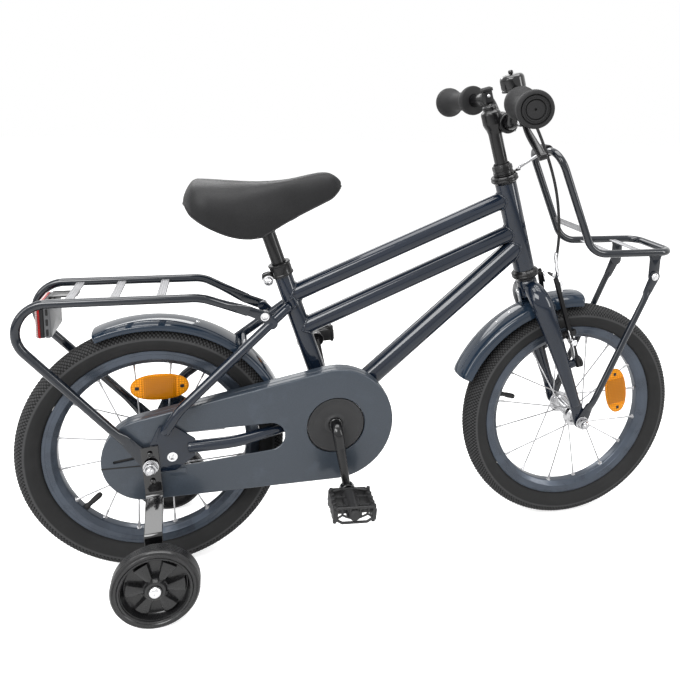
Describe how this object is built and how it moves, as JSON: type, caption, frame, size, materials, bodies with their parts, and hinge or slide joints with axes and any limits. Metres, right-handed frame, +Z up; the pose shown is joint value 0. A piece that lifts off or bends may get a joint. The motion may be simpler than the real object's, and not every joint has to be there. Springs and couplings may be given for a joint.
{
  "type": "kids bike with stabilisers",
  "caption": "Child's bicycle with stabiliser wheels, twin top tubes, front and rear carriers, mudguards, full chain case, rim brake, bell and cushioned saddle.",
  "frame": {"origin": "on the floor under the middle of the bike, halfway between the front of the front tyre and the back of the rear tyre", "axes": "+X forward along the bike, +Y to the rider's left, +Z up"},
  "size_m": [1.114, 0.3942, 0.7991],
  "materials": {
    "frame_paint": "gloss dark blue-grey paint",
    "black_metal": "black, semi-gloss",
    "black_alloy": "black anodised",
    "rim_alloy": "painted dark blue-grey alloy",
    "bright_steel": "bright plated",
    "silver_strip": "satin silver",
    "chain_steel": "oiled steel",
    "tyre_rubber": "matt rubber, diamond tread",
    "grip_rubber": "matt rubber",
    "saddle_cover": "smooth satin black cover",
    "black_plastic": "moulded black",
    "case_plastic": "satin blue-grey",
    "reflector_red": "red lens in a dark housing"
  },
  "bodies": {
    "frame": {"head_tube": "frame_paint", "upper_headset_cup": "black_metal", "top_tube": "frame_paint", "mid_tube": "frame_paint", "down_tube": "frame_paint", "seat_tube": "frame_paint", "chainstay_left": "frame_paint", "chainstay_right": "frame_paint", "seatstay_left": "frame_paint", "seatstay_right": "frame_paint", "seat_clamp": "black_metal", "rear_mudguard": "case_plastic", "rear_rack_left": "frame_paint", "rear_rack_right": "frame_paint", "rear_rack_bar_1": "silver_strip", "rear_rack_bar_2": "silver_strip", "rear_rack_bar_3": "silver_strip", "rear_reflector": "reflector_red", "chain_case": "case_plastic", "chain": "chain_steel", "stabiliser_bracket_left": "black_metal", "stabiliser_bracket_right": "black_metal", "rear_axle": "bright_steel"},
    "steering": {"fork": "frame_paint", "headset_locknut": "black_metal", "stem": "black_alloy", "handlebar": "black_metal", "grip_left": "grip_rubber", "grip_right": "grip_rubber", "bell": "black_metal", "brake_lever_bracket": "black_alloy", "front_rack": "frame_paint", "front_rack_bar_1": "silver_strip", "front_rack_bar_2": "silver_strip", "front_rack_bar_3": "silver_strip", "front_rack_stay": "bright_steel", "front_rack_strut_left": "frame_paint", "front_rack_strut_right": "frame_paint", "front_mudguard": "case_plastic", "brake_cable": "black_plastic", "front_axle": "bright_steel"},
    "front_wheel": {"front_tyre": "tyre_rubber", "front_rim": "rim_alloy", "front_hub": "bright_steel"},
    "rear_wheel": {"rear_tyre": "tyre_rubber", "rear_rim": "rim_alloy", "rear_hub": "bright_steel"},
    "sprocket": {"rear_sprocket": "chain_steel"},
    "crankset": {"crank": "black_metal", "chainring": "chain_steel"},
    "left_pedal": {"pedal_left": "black_plastic"},
    "right_pedal": {"pedal_right": "black_plastic"},
    "left_stabiliser": {"stabiliser_wheel_left": "black_plastic"},
    "right_stabiliser": {"stabiliser_wheel_right": "black_plastic"},
    "seat": {"seat_post": "black_metal", "saddle": "saddle_cover"},
    "lever": {"brake_lever": "black_alloy"},
    "left_brake": {"brake_arm_left": "black_alloy"},
    "right_brake": {"brake_arm_right": "black_alloy"},
    "striker": {"bell_striker": "black_metal"}
  },
  "joints": [
    {"name": "steering", "type": "hinge", "parent": "frame", "child": "steering", "pos_m": [0.21038, 0, 0.61732], "axis": [-0.2807, 0, 0.9598], "range_deg": [-60, 60]},
    {"name": "front_wheel_spin", "type": "hinge", "parent": "steering", "child": "front_wheel", "pos_m": [0.357, 0, 0.2], "axis": [0, 1, 0], "continuous": true},
    {"name": "rear_wheel_spin", "type": "hinge", "parent": "frame", "child": "rear_wheel", "pos_m": [-0.357, 0, 0.2], "axis": [0, 1, 0], "continuous": true},
    {"name": "crank_spin", "type": "hinge", "parent": "frame", "child": "crankset", "pos_m": [-0.078, 0, 0.234], "axis": [0, 1, 0], "continuous": true},
    {"name": "sprocket_spin", "type": "hinge", "parent": "frame", "child": "sprocket", "pos_m": [-0.357, 0, 0.2], "axis": [0, 1, 0], "continuous": true},
    {"name": "left_pedal_spin", "type": "hinge", "parent": "crankset", "child": "left_pedal", "pos_m": [-0.09267, 0.084, 0.32988], "axis": [0, 1, 0], "continuous": true},
    {"name": "right_pedal_spin", "type": "hinge", "parent": "crankset", "child": "right_pedal", "pos_m": [-0.06333, -0.084, 0.13812], "axis": [0, 1, 0], "continuous": true},
    {"name": "left_stabiliser_spin", "type": "hinge", "parent": "frame", "child": "left_stabiliser", "pos_m": [-0.347, 0.145, 0.061], "axis": [0, 1, 0], "continuous": true},
    {"name": "right_stabiliser_spin", "type": "hinge", "parent": "frame", "child": "right_stabiliser", "pos_m": [-0.347, -0.145, 0.061], "axis": [0, 1, 0], "continuous": true},
    {"name": "seat_post_slide", "type": "slide", "parent": "frame", "child": "seat", "axis": [-0.3206, 0, 0.9472], "range_m": [-0.025, 0.035]},
    {"name": "brake_lever_pull", "type": "hinge", "parent": "steering", "child": "lever", "pos_m": [0.19647, -0.0882, 0.72255], "axis": [-0.9598, 0, -0.2807], "range_deg": [0, 20], "stiffness_Nm_per_rad": 0.6, "springref_deg": -2.86},
    {"name": "left_brake_squeeze", "type": "hinge", "parent": "steering", "child": "left_brake", "pos_m": [0.34204, 0.0485, 0.30961], "axis": [0.9598, 0, 0.2807], "range_deg": [0, 2]},
    {"name": "right_brake_squeeze", "type": "hinge", "parent": "steering", "child": "right_brake", "pos_m": [0.34204, -0.0485, 0.30961], "axis": [-0.9598, 0, -0.2807], "range_deg": [0, 2]},
    {"name": "bell_striker_pull", "type": "slide", "parent": "steering", "child": "striker", "axis": [-0.2807, 0, 0.9598], "range_m": [0, 0.0025], "stiffness_N_per_m": 600}
  ],
  "couplings": [
    {"joint": "sprocket_spin", "follows": "crank_spin", "ratio": 1.75},
    {"joint": "left_brake_squeeze", "follows": "brake_lever_pull", "ratio": 0.1},
    {"joint": "right_brake_squeeze", "follows": "brake_lever_pull", "ratio": 0.1}
  ]
}
